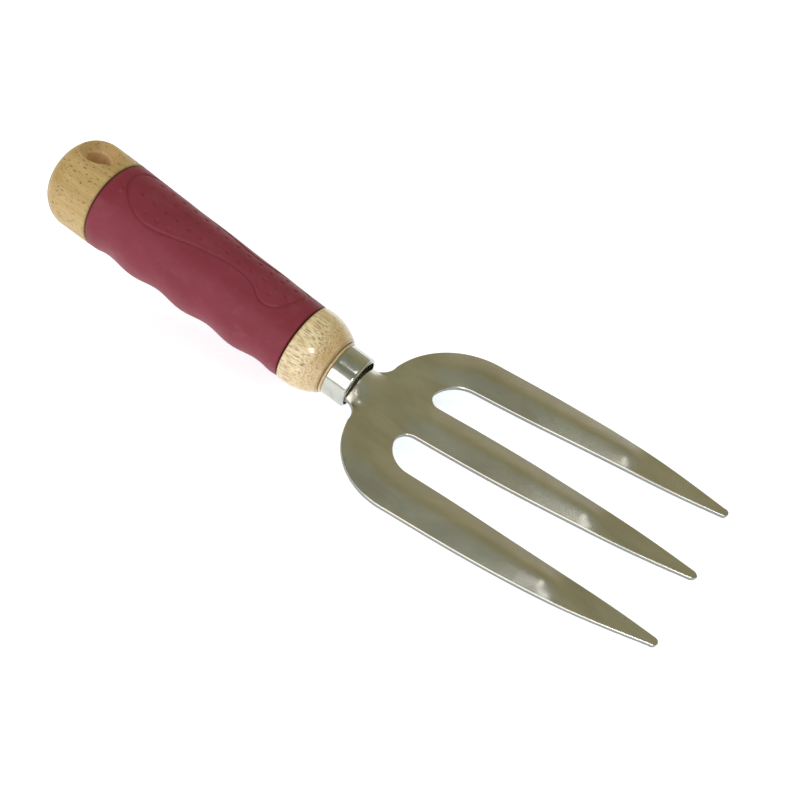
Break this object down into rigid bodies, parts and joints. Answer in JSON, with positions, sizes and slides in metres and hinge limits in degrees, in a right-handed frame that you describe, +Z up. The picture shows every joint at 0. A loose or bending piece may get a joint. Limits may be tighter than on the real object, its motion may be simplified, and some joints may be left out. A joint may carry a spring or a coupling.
{
  "type": "hand fork",
  "caption": "Short-handled garden hand fork with pressed steel tines, a chromed ferrule, a turned wooden handle and a soft grip sleeve.",
  "frame": {"origin": "on the ground under the middle of the tool's bounding box, with the tool lying nose-down as it comes to rest on flat ground", "axes": "+X forward from the handle butt to the tine tips, +Y to the left seen from the butt, +Z up from the ground; the handle axis falls 14.6 degrees toward the tips"},
  "size_m": [0.2848, 0.084, 0.063],
  "materials": {
    "steel_head": "satin",
    "steel_tang": "satin",
    "weld_metal": "satin",
    "adhesive": "matte",
    "chrome_ferrule": "polished",
    "handle_wood": "satin",
    "grip_rubber": "matte"
  },
  "bodies": {
    "root": {"fork_head": "steel_head", "tang": "steel_tang", "tang_weld": "weld_metal", "tang_adhesive": "adhesive", "ferrule": "chrome_ferrule", "handle": "handle_wood", "grip_sleeve": "grip_rubber"}
  },
  "joints": []
}
